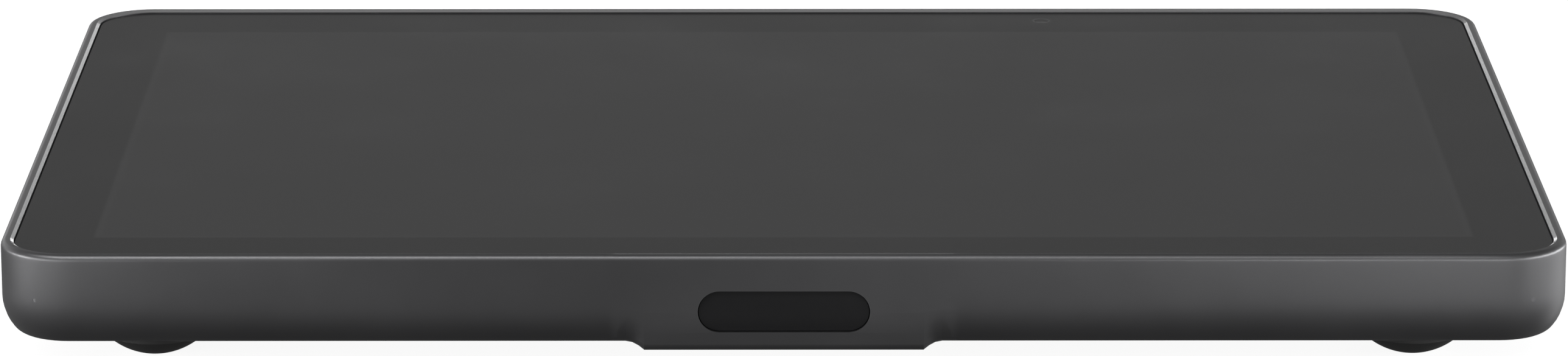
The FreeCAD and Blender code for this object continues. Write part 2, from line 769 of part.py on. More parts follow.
def main_board():
    """The main circuit board, its processor under a shield, and the pad on top."""
    middle = "body_depth / 2 - board_back - board_depth / 2"
    board = plate("board_blank", "board_width", "board_depth", "board_thickness",
                  "board_corner", "0", middle, BOARD_BOTTOM)
    holes = rods("board_passage", BOARD_POSTS, "screw_radius + screw_passage",
                 "board_thickness + 2 * overshoot", f"{BOARD_BOTTOM} - overshoot")
    node(cut("main_board", board, fuse("board_openings", holes)), "main_board")
    screws("board_screws", BOARD_POSTS, BOARD_TOP)
    node(block("processor", "processor_side", "processor_side", "processor_height",
               "shield_x", "shield_y", BOARD_TOP), "processor")
    can = block("can_outside", "shield_width", "shield_depth", "shield_height", "shield_x",
                "shield_y", BOARD_TOP)
    inside = block("can_inside", "shield_width - 2 * shield_wall",
                   "shield_depth - 2 * shield_wall", "shield_height - shield_wall + overshoot",
                   "shield_x", "shield_y", f"{BOARD_TOP} - overshoot")
    node(cut("shield_can", can, inside), "shield_can")
    pad_bottom = f"{BOARD_TOP} + shield_height"
    node(block("thermal_pad", "pad_side", "pad_side", f"{CHASSIS_BOTTOM} - ({pad_bottom})",
               "shield_x", "shield_y", pad_bottom), "thermal_pad")


def power_inlet():
    """The USB-C receptacle at the back edge of the main board."""
    start = f"{BACK} - inlet_sink - inlet_length"
    outside = bar("inlet_outside", "inlet_width", "inlet_height", "inlet_length", "0", start,
                  INLET_Z)
    inside = bar("inlet_inside", "inlet_width - 2 * inlet_wall",
                 "inlet_height - 2 * inlet_wall", "inlet_length", "0",
                 f"{start} + 2 * inlet_wall", INLET_Z)
    node(cut("usb_c_shell", outside, inside), "usb_c_shell")
    node(block("usb_c_tongue", "tongue_width", "tongue_length", "tongue_height", "0",
               f"{start} + 2 * inlet_wall + tongue_length / 2",
               f"{INLET_Z} - tongue_height / 2"), "usb_c_tongue")


def sensor_window():
    """The crowned dark window in the front wall, and the sensor board behind it."""
    length = "wall - window_sink + window_flange_depth"
    face = bar("window_face", "window_width - 2 * window_gap",
               "window_height - 2 * window_gap", length, "0", f"{FRONT} + window_sink",
               WINDOW_Z)
    flange = block("window_flange", "window_flange_width", "window_flange_depth",
                   "window_flange_height", "0", f"{INNER_FRONT} + window_flange_depth / 2",
                   f"{UNDERSIDE} + window_flange_level")
    crown = rod("window_crown", "window_crown_radius", "window_width", "-window_width / 2",
                f"{FRONT} + window_sink + window_crown_radius", WINDOW_Z, "x")
    lens = doc.addObject("Part::Common", "window_lens")
    lens.Base = face
    lens.Tool = crown
    node(fuse("sensor_window", [lens, flange]), "sensor_window")
    node(block("sensor_board", "sensor_width", "sensor_thickness", "sensor_height", "0",
               f"{INNER_FRONT} + window_flange_depth + sensor_thickness / 2",
               f"{WINDOW_Z} - sensor_height / 2"), "sensor_board")


def microphones(core):
    """A rubber boot behind each microphone hole, and the small board it seals against."""
    for word, side in (("left", "-1"), ("right", "1")):
        blank = block(f"boot_blank_{word}", "mic_boot_width", "mic_boot_depth",
                      "mic_boot_height", f"{side} * mic_boot_x",
                      f"{INNER_FRONT} + mic_boot_depth / 2",
                      f"{MIC_Z} - mic_boot_height / 2")
        fitted = doc.addObject("Part::Common", f"boot_{word}")
        fitted.Base = blank
        fitted.Tool = core
        duct = rod(f"boot_duct_{word}", "mic_hole_radius", "mic_boot_depth + 2 * overshoot",
                   f"{side} * mic_x", f"{INNER_FRONT} - overshoot", MIC_Z, "y")
        node(cut(f"mic_boot_{word}", fitted, duct), f"mic_boot_{word}")
        node(block(f"mic_board_{word}", "mic_board_width", "mic_board_thickness",
                   "mic_board_height", f"{side} * mic_boot_x",
                   f"{INNER_FRONT} + mic_boot_depth + mic_board_thickness / 2",
                   f"{MIC_Z} - mic_board_height / 2"), f"mic_board_{word}")


def camera():
    node(block("camera_module", "camera_side", "camera_side", "camera_height", "camera_x",
               CAMERA_Y, CHASSIS_TOP), "camera_module")
    base = f"{CHASSIS_TOP} + camera_height"
    barrel = rod("lens_barrel", "lens_radius", "lens_height", "camera_x", CAMERA_Y, base)
    opening = rod("lens_recess", "lens_opening", "lens_recess + overshoot", "camera_x", CAMERA_Y,
                  f"{base} + lens_height - lens_recess")
    node(cut("camera_lens", barrel, opening), "camera_lens")


def shutter():
    """The privacy shutter: a thin blade under the glass, on a slider in the back wall."""
    bottom = f"{GLASS_BOTTOM} - blade_glass_gap - blade_thickness"
    leg_y = f"{INNER_BACK} - leg_wall_gap - leg_thickness / 2"
    strip = block("blade_strip", "blade_width", "blade_depth", "blade_thickness",
                  "camera_x + blade_offset", CAMERA_Y, bottom)
    tab = block("blade_tab", "leg_width", "2 * leg_thickness", "blade_thickness", KNOB_X,
                f"{leg_y} - leg_thickness / 2", bottom)
    node(fuse("shutter_blade", [strip, tab]), "shutter_blade")
    leg_bottom = f"{KNOB_Z} - stem_height / 2"
    leg = block("slider_leg", "leg_width", "leg_thickness", f"{bottom} - ({leg_bottom})",
                KNOB_X, leg_y, leg_bottom)
    knob_front = f"{BACK} - knob_sink - knob_depth"
    stem_start = f"{leg_y} - leg_thickness / 2"
    stem_length = f"{knob_front} + knob_depth / 2 - ({stem_start})"
    stem = block("slider_stem", "leg_width", stem_length, "stem_height", KNOB_X,
                 f"{stem_start} + ({stem_length}) / 2", leg_bottom)
    knob = block("slider_knob", "knob_width", "knob_depth", "knob_height", KNOB_X,
                 f"{knob_front} + knob_depth / 2", f"{KNOB_Z} - knob_height / 2")
    ribs = [rod("slider_rib", "knob_rib_radius", "knob_height",
                f"{KNOB_X} + {step} * knob_rib_pitch", f"{BACK} - knob_sink",
                f"{KNOB_Z} - knob_height / 2") for step in RIB_STEPS]
    node(fuse("shutter_slider", [leg, stem, knob] + ribs), "shutter_slider")


def buttons():
    """The three caps, each with its flange and nub, and the switches they press."""
    inner_face = f"{INNER_BACK} - button_seat"
    flange_start = f"{inner_face} - button_flange_depth"
    nub_start = f"{flange_start} - button_nub_length"
    for name, (x, width) in BUTTONS.items():
        cap = bar(name + "_face", width, "button_height", "wall + button_seat", x,
                  inner_face, BUTTON_Z)
        flange = bar(name + "_flange", f"{width} + 2 * button_flange",
                     "button_height + 2 * button_flange", "button_flange_depth", x,
                     flange_start, BUTTON_Z)
        nub = rod(name + "_nub", "button_nub_radius", "button_nub_length", x, nub_start,
                  BUTTON_Z, "y")
        node(fuse(name + "_button", [cap, flange, nub]), name + "_button")
        node(rod(name + "_plunger", "plunger_radius", "plunger_length", x,
                 f"{nub_start} - plunger_length", BUTTON_Z, "y"), name + "_plunger")
        body = block(name + "_switch_body", "switch_width", "switch_depth", "switch_height",
                     x, f"{SWITCH_BACK} - switch_depth / 2", f"{BUTTON_Z} - switch_height / 2")
        bore = rod(name + "_bore", "plunger_radius + plunger_clearance", "switch_depth", x,
                   f"{SWITCH_BACK} - switch_depth + switch_floor", BUTTON_Z, "y")
        node(cut(name + "_switch", body, bore), name + "_switch")


def keyboard():
    """The switches' board, and the bracket that holds it against the back wall."""
    bottom = f"{BUTTON_Z} - keyboard_height / 2"
    node(block("button_board", "keyboard_width", "keyboard_thickness", "keyboard_height",
               "keyboard_x", f"{KEYBOARD_Y} + keyboard_thickness / 2", bottom),
         "button_board")
    strap = block("bracket_strap", "bracket_width", "bracket_thickness", "keyboard_height",
                  "keyboard_x", f"{KEYBOARD_Y} - bracket_thickness / 2", bottom)
    holes = [rod("bracket_hole", "screw_radius + screw_passage",
                 "bracket_thickness + 2 * overshoot", x,
                 f"{KEYBOARD_Y} - bracket_thickness - overshoot", BUTTON_Z, "y")
             for x in bracket_screws()]
    node(cut("button_bracket", strap, fuse("bracket_holes", holes)), "button_bracket")
    pieces = []
    face = f"{KEYBOARD_Y} - bracket_thickness"
    for number, x in enumerate(bracket_screws(), start=1):
        head = rod("bracket_head", "screw_head_radius", "screw_head_height", x,
                   f"{face} - screw_head_height", BUTTON_Z, "y")
        shank = rod("bracket_shank", "screw_radius", "screw_length", x, face, BUTTON_Z, "y")
        pieces.append(fuse(f"bracket_screw_{number}", [head, shank]))
    node(fuse("bracket_screws", pieces), "bracket_screws")


def speakers():
    """A sealed speaker box on each side, firing down through the vents."""
    for word, side in (("left", "-1"), ("right", "1")):
        x = f"{side} * speaker_x"
        ring = block(f"gasket_outside_{word}", "speaker_width", "speaker_depth",
                     "gasket_thickness", x, "speaker_y", FLOOR)
        hole = block(f"gasket_inside_{word}", "speaker_width - 2 * gasket_width",
                     "speaker_depth - 2 * gasket_width", "gasket_thickness + 2 * overshoot", x,
                     "speaker_y", f"{FLOOR} - overshoot")
        node(cut(f"speaker_gasket_{word}", ring, hole), f"speaker_gasket_{word}")
        speaker_box(word, x)
        speaker_driver(word, x)
    screws("speaker_screws", EAR_POSTS, f"{FLOOR} + ear_post_height + ear_thickness")


def speaker_box(word, x):
    outside = block(f"box_outside_{word}", "speaker_width", "speaker_depth",
                    "speaker_height", x, "speaker_y", SPEAKER_BOTTOM)
    inside = block(f"box_inside_{word}", "speaker_width - 2 * speaker_wall",
                   "speaker_depth - 2 * speaker_wall", "speaker_height - 2 * speaker_wall",
                   x, "speaker_y", f"{SPEAKER_BOTTOM} + speaker_wall")
    mouth = rod(f"box_mouth_{word}", "driver_radius + driver_gap", "speaker_wall + overshoot", x,
                "speaker_y", f"{SPEAKER_BOTTOM} - overshoot / 2")
    ears = [block(f"ear_{word}", "ear_length + speaker_wall / 2", "ear_depth",
                  "ear_thickness",
                  f"{x} {sign} (speaker_width / 2 + ear_length / 2 - speaker_wall / 4)",
                  "speaker_y", f"{FLOOR} + ear_post_height") for sign in "-+"]
    passages = [rod(f"ear_passage_{word}", "screw_radius + screw_passage",
                    "ear_thickness + 2 * overshoot", f"{x} {sign} {EAR_X}", "speaker_y",
                    f"{FLOOR} + ear_post_height - overshoot") for sign in "-+"]
    hollow = fuse(f"box_hollow_{word}", [inside, mouth] + passages)
    node(cut(f"speaker_box_{word}", fuse(f"box_solid_{word}", [outside] + ears), hollow),
         f"speaker_box_{word}")


def speaker_driver(word, x):
    frame = rod(f"driver_frame_{word}", "driver_radius", "driver_height", x, "speaker_y",
                SPEAKER_BOTTOM)
    magnet = rod(f"driver_magnet_{word}", "magnet_radius", "magnet_height + magnet_overlap", x,
                 "speaker_y", f"{SPEAKER_BOTTOM} + driver_height - magnet_overlap")
    cone = doc.addObject("Part::Cone", f"driver_cone_{word}")
    bind(cone, "Radius1", "cone_radius")
    bind(cone, "Radius2", "cone_floor_radius")
    bind(cone, "Height", "cone_depth")
    place(cone, x, "speaker_y", SPEAKER_BOTTOM)
    node(cut(f"speaker_driver_{word}", fuse(f"driver_solid_{word}", [frame, magnet]), cone),
         f"speaker_driver_{word}")


def aerials():
    for word in ("left", "right"):
        node(block(f"wifi_aerial_{word}", "aerial_width", "aerial_depth", "aerial_height",
                   f"aerial_{word}_x", f"{INNER_BACK} - aerial_gap - aerial_depth / 2",
                   CHASSIS_TOP), f"wifi_aerial_{word}")


def ribbon():
    """The screen's flat cable, folded round the chassis down to its connector."""
    cell_front = f"{ACTIVE_Y} - active_depth / 2 - cell_front"
    start = f"{cell_front} - ribbon_bow"
    low = f"{CHASSIS_BOTTOM} - ribbon_drop"
    high = f"{CELL_BOTTOM} + ribbon_rise"
    end = "connector_y + connector_depth / 2"
    top = block("ribbon_top", "ribbon_width", "ribbon_bow", "ribbon_thickness", "ribbon_x",
                f"{cell_front} - ribbon_bow / 2", high)
    upright = block("ribbon_upright", "ribbon_width", "ribbon_thickness",
                    f"{high} + ribbon_thickness - ({low})", "ribbon_x",
                    f"{start} + ribbon_thickness / 2", low)
    run = block("ribbon_run", "ribbon_width", f"{end} - ({start})", "ribbon_thickness",
                "ribbon_x", f"({end} + {start}) / 2", low)
    node(fuse("display_ribbon", [top, upright, run]), "display_ribbon")
    node(block("ribbon_connector", "connector_width", "connector_depth",
               f"{low} - ({BOARD_TOP})", "ribbon_x", "connector_y", BOARD_TOP),
         "ribbon_connector")


def feet():
    """Domed rubber feet with a small flat at the bottom, each glued into its seat."""
    for name, (x, y) in FEET.items():
        dome = doc.addObject("Part::Sphere", name + "_dome")
        bind(dome, "Radius", "foot_dome_radius")
        place(dome, x, y, "sqrt(foot_dome_radius ^ 2 - foot_flat_radius ^ 2)")
        band = rod(name + "_band", "foot_radius", "foot_drop + foot_seat", x, y, "0")
        foot = doc.addObject("Part::Common", name)
        foot.Base = dome
        foot.Tool = band
        node(foot, name)


def mount_inserts():
    outsides = rods("insert_outside", INSERTS, "insert_radius", "insert_length", UNDERSIDE)
    bores = rods("insert_bore", INSERTS, "insert_bore", "insert_length + 2 * overshoot",
                 f"{UNDERSIDE} - overshoot")
    node(cut("mount_inserts", fuse("insert_bodies", outsides), fuse("insert_bores", bores)),
         "mount_inserts")


def check_and_export():
    """Stops on any failed or empty shape, then writes one STEP file for each piece."""
    doc.recompute()
    for item in doc.Objects:
        if "Invalid" in item.State or "Error" in item.State:
            raise RuntimeError(f"{item.Label} failed to build")
    for item in nodes:
        if item.Shape.isNull() or not item.Shape.isValid() or not item.Shape.Solids:
            raise RuntimeError(f"{item.Label} has no valid solid")
    os.makedirs("parts", exist_ok=True)
    for item in nodes:
        item.Shape.exportStep(f"parts/{item.Label}.step")
        box = item.Shape.BoundBox
        print(f"{item.Label:24s} solids {len(item.Shape.Solids)}  "
              f"volume {item.Shape.Volume:10.2f}  z {box.ZMin:6.2f} {box.ZMax:6.2f}")


fill_sheet()
core = cavity_core()
housing(core)
screen_stack()
chassis()
main_board()
power_inlet()
sensor_window()
microphones(core)
camera()
shutter()
buttons()
keyboard()
speakers()
aerials()
ribbon()
feet()
mount_inserts()
check_and_export()
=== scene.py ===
import json
import math

import bmesh
import bpy
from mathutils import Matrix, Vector


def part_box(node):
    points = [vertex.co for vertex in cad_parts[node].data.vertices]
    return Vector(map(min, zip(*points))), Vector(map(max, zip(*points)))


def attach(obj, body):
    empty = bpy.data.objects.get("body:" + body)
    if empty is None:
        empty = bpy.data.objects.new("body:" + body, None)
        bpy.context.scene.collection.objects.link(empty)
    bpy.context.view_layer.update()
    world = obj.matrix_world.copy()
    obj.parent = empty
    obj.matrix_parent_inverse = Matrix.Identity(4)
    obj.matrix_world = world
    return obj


# Smart display: looks, floor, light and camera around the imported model. All lengths are in metres.

MM = 0.001

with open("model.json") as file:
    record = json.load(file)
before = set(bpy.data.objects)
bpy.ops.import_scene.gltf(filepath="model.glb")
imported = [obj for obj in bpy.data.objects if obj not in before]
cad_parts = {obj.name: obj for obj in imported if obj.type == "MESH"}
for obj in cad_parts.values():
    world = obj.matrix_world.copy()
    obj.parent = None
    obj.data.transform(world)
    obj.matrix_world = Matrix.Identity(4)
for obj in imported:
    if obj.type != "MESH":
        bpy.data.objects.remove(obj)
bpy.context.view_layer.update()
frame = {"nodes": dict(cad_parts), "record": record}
nodes = frame["nodes"]
BODY = "display_body"

# Places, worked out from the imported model.
shell_low, shell_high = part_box("housing")
lens_low, lens_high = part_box("camera_lens")
touch_low, touch_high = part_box("touch_sensor")
HALF_X = (shell_high.x - shell_low.x) / 2
HALF_Y = (shell_high.y - shell_low.y) / 2
RIM_Z = shell_high.z
LENS = (lens_low + lens_high) / 2

# The tub's corners seen from above, its rim with the bevel inside it, and the rim's outer round.
CORNER = 11.0 * MM
RIM_WIDTH = 2.0 * MM
BEVEL = 0.5 * MM
BEVEL_DROP = 0.3 * MM
BEVEL_START = RIM_WIDTH - BEVEL
BEVEL_END = RIM_Z - BEVEL_DROP
BEVEL_TURNS = ((0.80, 0.83), (0.93, 0.90))
RIM_ROUND = 0.9 * MM

# The thick middle hangs below the underside, and the wall's lower round starts above that.
BOSS_DROP = 1.08 * MM
LOWER_RISE = 6.3 * MM
WALL_LOW = shell_low.z + BOSS_DROP + LOWER_RISE
LOWER_ROUND = 8.0 * MM
BOSS_HALF = 21.85 * MM
BOSS_FLARE = (2.5 * MM, 6.0 * MM)
BOSS_BACK = (-HALF_Y * 0.9, -HALF_Y * 0.8)
BOSS_TOP = 1.5 * MM

# How softly each round starts, and how closely a surface has to agree with its softer shading.
CORNER_EASE = 2.0 * MM
LOWER_EASE = 1.4 * MM
RIM_EASE = 0.12 * MM
OWN_TO_FLOWING = (0.955, 0.985)

# The lit area, the fade at its edge, and the fade of the pale line just inside it.
TOUCH_MARGIN = 2.0 * MM
ACTIVE_X = touch_high.x - TOUCH_MARGIN
ACTIVE_Y = (touch_high.y - touch_low.y) / 2 - TOUCH_MARGIN
ACTIVE_MIDDLE = (touch_high.y + touch_low.y) / 2
ACTIVE_FADE = (0.35 * MM, -0.25 * MM)
LINE_FADE = (-1.3 * MM, -0.7 * MM)

# Radii about the lens: where the print clears, and the outer and inner edge of the ring round it.
LENS_CLEAR = (1.38 * MM, 1.30 * MM)
RING_OUTER = (1.75 * MM, 1.70 * MM)
RING_INNER = (1.32 * MM, 1.38 * MM)

# The microphone holes and the wire cloth in them.
MIC_INSET = 6.0 * MM
MIC_X = HALF_X - MIC_INSET
MIC_RADIUS = 0.305 * MM
MESH_RINGS = 4
MESH_TURNS = 24
MESH_DEPTH = 0.05 * MM
MESH_THICKNESS = 0.04 * MM
WIRE_PITCH = 0.02 * MM


# Node building ----------------------------------------------------------------------------------

class Graph:
    """A material's node tree, with one short method for each kind of node it uses."""

    def __init__(self, name):
        self.material = bpy.data.materials.new(name)
        self.material.use_nodes = True
        self.tree = self.material.node_tree
        self.shader = self.tree.nodes["Principled BSDF"]
        self.coords = self.tree.nodes.new("ShaderNodeTexCoord")

    def feed(self, socket, value):
        if isinstance(value, bpy.types.NodeSocket):
            self.tree.links.new(value, socket)
        else:
            socket.default_value = value

    def math(self, operation, *values, clamp=False):
        node = self.tree.nodes.new("ShaderNodeMath")
        node.operation = operation
        node.use_clamp = clamp
        for socket, value in zip(node.inputs, values):
            self.feed(socket, value)
        return node.outputs[0]

    def length(self, x, y):
        return self.math("SQRT", self.math("ADD", self.math("MULTIPLY", x, x),
                                           self.math("MULTIPLY", y, y)))

    def parts(self, vector=None):
        """The three components of a vector, by default the place on the object."""
        node = self.tree.nodes.new("ShaderNodeSeparateXYZ")
        self.feed(node.inputs[0], vector or self.coords.outputs["Object"])
        return node.outputs

    def point(self, x, y, z):
        node = self.tree.nodes.new("ShaderNodeCombineXYZ")
        for socket, value in zip(node.inputs, (x, y, z)):
            self.feed(socket, value)
        return node.outputs[0]

    def stretch(self, scale):
        """The place on the object, scaled by a different amount along each axis."""
        return self.vector("MULTIPLY", self.coords.outputs["Object"], scale)

    def noise(self, size, detail=3.0, rough=0.5, vector=None):
        """Noise with cells of the size given, from 0 to 1."""
        node = self.tree.nodes.new("ShaderNodeTexNoise")
        self.feed(node.inputs["Vector"], vector or self.coords.outputs["Object"])
        node.inputs["Scale"].default_value = 1 / size
        node.inputs["Detail"].default_value = detail
        node.inputs["Roughness"].default_value = rough
        return node.outputs["Fac"]

    def cells(self, size, feature="F1", vector=None):
        node = self.tree.nodes.new("ShaderNodeTexVoronoi")
        node.feature = feature
        self.feed(node.inputs["Vector"], vector or self.coords.outputs["Object"])
        node.inputs["Scale"].default_value = 1 / size
        return node.outputs["Distance"]

    def ramp(self, value, low, high, out_low=0.0, out_high=1.0, smooth=False):
        node = self.tree.nodes.new("ShaderNodeMapRange")
        node.interpolation_type = "SMOOTHSTEP" if smooth else "LINEAR"
        for socket, number in zip(node.inputs, (value, low, high, out_low, out_high)):
            self.feed(socket, number)
        return node.outputs[0]

    def mix(self, share, first, second):
        """A colour between two colours."""
        node = self.tree.nodes.new("ShaderNodeMix")
        node.data_type = "RGBA"
        self.feed(node.inputs["Factor"], share)
        self.feed(node.inputs["A"], first if not isinstance(first, tuple) else (*first, 1.0))
        self.feed(node.inputs["B"], second if not isinstance(second, tuple) else (*second, 1.0))
        return node.outputs["Result"]

    def blend(self, share, first, second):
        """A number between two numbers."""
        node = self.tree.nodes.new("ShaderNodeMix")
        for socket, value in zip(node.inputs[:1] + node.inputs[2:4], (share, first, second)):
            self.feed(socket, value)
        return node.outputs[0]

    def vector(self, operation, *values):
        node = self.tree.nodes.new("ShaderNodeVectorMath")
        node.operation = operation
        for socket, value in zip(node.inputs, values):
            self.feed(socket, value)
        return node.outputs["Value" if operation in ("DOT_PRODUCT", "LENGTH") else 0]

    def bump(self, height, depth, strength=1.0, base=None):
        node = self.tree.nodes.new("ShaderNodeBump")
        if base:
            self.feed(node.inputs["Normal"], base)
        self.feed(node.inputs["Height"], height)
        node.inputs["Distance"].default_value = depth
        node.inputs["Strength"].default_value = strength
        self.tree.links.new(node.outputs[0], self.shader.inputs["Normal"])

    def worn_edge(self, radius):
        """1 where the surface turns within the radius, as on an edge, and 0 on flat ground."""
        bevel = self.tree.nodes.new("ShaderNodeBevel")
        bevel.samples = 4
        bevel.inputs["Radius"].default_value = radius
        return self.ramp(self.vector("DOT_PRODUCT", bevel.outputs[0], self.normal()), 0.995, 0.85)

    def normal(self):
        return self.tree.nodes.new("ShaderNodeNewGeometry").outputs["Normal"]

    def set(self, **inputs):
        """Feeds the shader's sockets; an underscore in a name stands for a space."""
        for name, value in inputs.items():
            if isinstance(value, tuple):
                value = (*value, 1.0)
            self.feed(self.shader.inputs[name.replace("_", " ")], value)


def tint(color, share):
    return tuple(channel * share for channel in color)


# Materials of the outside -----------------------------------------------------------------------

def corner_reach(g):
    """How far a point lies beyond the centres of the corners' rounds, along x and along y."""
    x, y, _ = g.parts()
    return (g.math("SUBTRACT", g.math("ABSOLUTE", x), HALF_X - CORNER),
            g.math("SUBTRACT", g.math("ABSOLUTE", y), HALF_Y - CORNER))


def inset(g):
    """How far a point lies inside the body's rounded outline, seen from above."""
    reach_x, reach_y = corner_reach(g)
    corner = g.length(g.math("MAXIMUM", reach_x, 0.0), g.math("MAXIMUM", reach_y, 0.0))
    side = g.math("MINIMUM", g.math("MAXIMUM", reach_x, reach_y), 0.0)
    return g.math("SUBTRACT", CORNER, g.math("ADD", corner, side))


def eased(g, value, width):
    """The value where it is above zero and nothing below, with a soft turn between."""
    root = g.math("SQRT", g.math("ADD", g.math("MULTIPLY", value, value), width * width))
    return g.math("MULTIPLY", g.math("ADD", value, root), 0.5)


def flowing_normal(g):
    """The way the tub faces if its flats run into its rounds with no break, as on the real one.

    Each round turns from nothing, a little before the flat ends. The mesh's own normal stays
    where the mesh faces another way, as in a slot or on the rim's bevel, and low on the thick
    middle.
    """
    x, y, z = g.parts()
    reach_x, reach_y = corner_reach(g)
    plan = g.vector("NORMALIZE", g.point(
        g.math("MULTIPLY", g.math("SIGN", x), eased(g, reach_x, CORNER_EASE)),
        g.math("MULTIPLY", g.math("SIGN", y), eased(g, reach_y, CORNER_EASE)), 0.0))
    flare_start, flare_end = (BOSS_HALF + width for width in BOSS_FLARE)
    beside_boss = g.math("MAXIMUM",
                         g.ramp(g.math("ABSOLUTE", x), flare_start, flare_end, smooth=True),
                         g.ramp(y, *BOSS_BACK))
    above = g.ramp(z, WALL_LOW, WALL_LOW + BOSS_TOP, smooth=True)
    under = g.math("MULTIPLY", eased(g, g.math("SUBTRACT", WALL_LOW, z), LOWER_EASE), beside_boss)
    over = eased(g, g.math("SUBTRACT", z, RIM_Z - RIM_ROUND), RIM_EASE)
    tilt = g.math("SUBTRACT", g.math("DIVIDE", over, RIM_ROUND),
                  g.math("DIVIDE", under, LOWER_ROUND))
    tilt = g.math("MAXIMUM", g.math("MINIMUM", tilt, 1.0), -1.0)
    level = g.math("SQRT", g.math("SUBTRACT", 1.0, g.math("MULTIPLY", tilt, tilt)))
    flowing = g.vector("ADD", g.vector("MULTIPLY", plan, g.point(level, level, level)),
                       g.point(0.0, 0.0, tilt))
    own = g.normal()
    near = g.math("MULTIPLY", g.math("MAXIMUM", beside_boss, above),
                  g.ramp(g.vector("DOT_PRODUCT", own, flowing), *OWN_TO_FLOWING, smooth=True))
    mixed = g.vector("ADD", g.vector("MULTIPLY", flowing, g.point(near, near, near)),
                     g.vector("MULTIPLY", own, g.vector("SUBTRACT", (1.0, 1.0, 1.0),
                                                        g.point(near, near, near))))
    return g.vector("NORMALIZE", mixed)


def anodised(name, color, housing):
    """Bead-blasted, dark anodised aluminium; the housing has a bright bevel inside its rim."""
    g = Graph(name)
    grain = g.noise(0.09 * MM, 2.0)
    clouds = g.noise(22 * MM, 4.0, 0.55)
    wear = g.worn_edge(0.25 * MM)
    dye = g.mix(clouds, tint(color, 0.93), tint(color, 1.07))
    base = g.mix(g.math("MULTIPLY", wear, 0.22), dye, tint(color, 2.0))
    rough = g.math("ADD", g.ramp(clouds, 0.3, 0.7, 0.40, 0.46),
                   g.ramp(grain, 0.3, 0.7, -0.03, 0.03))
    if housing:
        _, _, z = g.parts()
        up = g.parts(g.normal())[2]
        steep = g.math("MULTIPLY", *(g.ramp(up, *turn) for turn in BEVEL_TURNS))
        inner = g.ramp(inset(g), BEVEL_START - 0.12 * MM, BEVEL_START - 0.06 * MM)
        high = g.ramp(z, BEVEL_END - 0.08 * MM, BEVEL_END - 0.02 * MM)
        cut = g.math("MULTIPLY", steep, g.math("MULTIPLY", inner, high))
        lines = g.noise(0.05 * MM, 1.0, vector=g.stretch((1, 1, 12)))
        base = g.mix(cut, base, (0.85, 0.85, 0.86))
        rough = g.blend(cut, rough, g.ramp(lines, 0.3, 0.7, 0.16, 0.24))
    g.set(Base_Color=base, Roughness=rough, Metallic=0.92)
    g.bump(grain, 0.006 * MM, 0.5, flowing_normal(g) if housing else None)
    return g.material


def cover_glass(name):
    """Polished glass over a dark print, clear only at the camera, with the panel just showing."""
    g = Graph(name)
    x, y, _ = g.parts()
    along_x = g.math("SUBTRACT", g.math("ABSOLUTE", x), ACTIVE_X)
    along_y = g.math("SUBTRACT", g.math("ABSOLUTE", g.math("SUBTRACT", y, ACTIVE_MIDDLE)), ACTIVE_Y)
    outside = g.math("MAXIMUM", along_x, along_y)
    active = g.ramp(outside, *ACTIVE_FADE)
    line = g.math("MULTIPLY", active, g.ramp(outside, *LINE_FADE))
    away = g.length(g.math("SUBTRACT", x, LENS.x), g.math("SUBTRACT", y, LENS.y))
    clear = g.ramp(away, *LENS_CLEAR)
    ring = g.math("MULTIPLY", g.ramp(away, *RING_OUTER), g.ramp(away, *RING_INNER))
    smears = g.noise(26 * MM, 5.0, 0.62)
    dust = g.noise(0.35 * MM, 2.0)
    print_tone = g.mix(dust, (0.0060, 0.0060, 0.0063), (0.0075, 0.0075, 0.0078))
    panel_tone = g.mix(dust, (0.0225, 0.0225, 0.0230), (0.0245, 0.0245, 0.0250))
    base = g.mix(active, print_tone, panel_tone)
    base = g.mix(g.math("MULTIPLY", line, 0.45), base, (0.034, 0.034, 0.035))
    base = g.mix(ring, base, (0.05, 0.05, 0.052))
    # The ground edge of the glass is rougher and paler than its face.
    edge = g.ramp(g.parts(g.normal())[2], 0.95, 0.85)
    base = g.mix(edge, base, (0.06, 0.06, 0.062))
    rough = g.blend(edge, g.ramp(smears, 0.35, 0.75, 0.055, 0.11), 0.45)
    base = g.mix(clear, base, (0.9, 0.9, 0.9))
    g.set(Base_Color=base, Roughness=g.blend(clear, rough, 0.0), IOR=1.5,
          Transmission_Weight=clear)
    g.bump(smears, 0.002 * MM, 0.1)
    return g.material


def rubber(name, color, shine=0.62):
    """Matt moulded rubber with fine pits and a lighter bloom on its edges."""
    g = Graph(name)
    pits = g.noise(0.12 * MM, 3.0)
    bloom = g.noise(2.4 * MM, 3.0)
    wear = g.worn_edge(0.3 * MM)
    base = g.mix(bloom, tint(color, 0.85), tint(color, 1.25))
    base = g.mix(g.math("MULTIPLY", wear, 0.5), base, tint(color, 2.2))
    g.set(Base_Color=base, Roughness=g.ramp(pits, 0.3, 0.7, shine - 0.06, shine + 0.08))
    g.bump(pits, 0.015 * MM, 0.5)
    return g.material


def plastic(name, color, shine=0.45, grain=0.15 * MM, depth=0.008 * MM):
    """Moulded plastic with a fine spark-eroded texture."""
    g = Graph(name)
    sparks = g.cells(grain)
    clouds = g.noise(9 * MM, 3.0)
    wear = g.worn_edge(0.15 * MM)
    base = g.mix(clouds, tint(color, 0.9), tint(color, 1.1))
    base = g.mix(g.math("MULTIPLY", wear, 0.35), base, tint(color, 1.8))
    g.set(Base_Color=base, Roughness=g.ramp(sparks, 0.1, 0.7, shine - 0.05, shine + 0.07))
    g.bump(sparks, depth, 0.4)
    return g.material


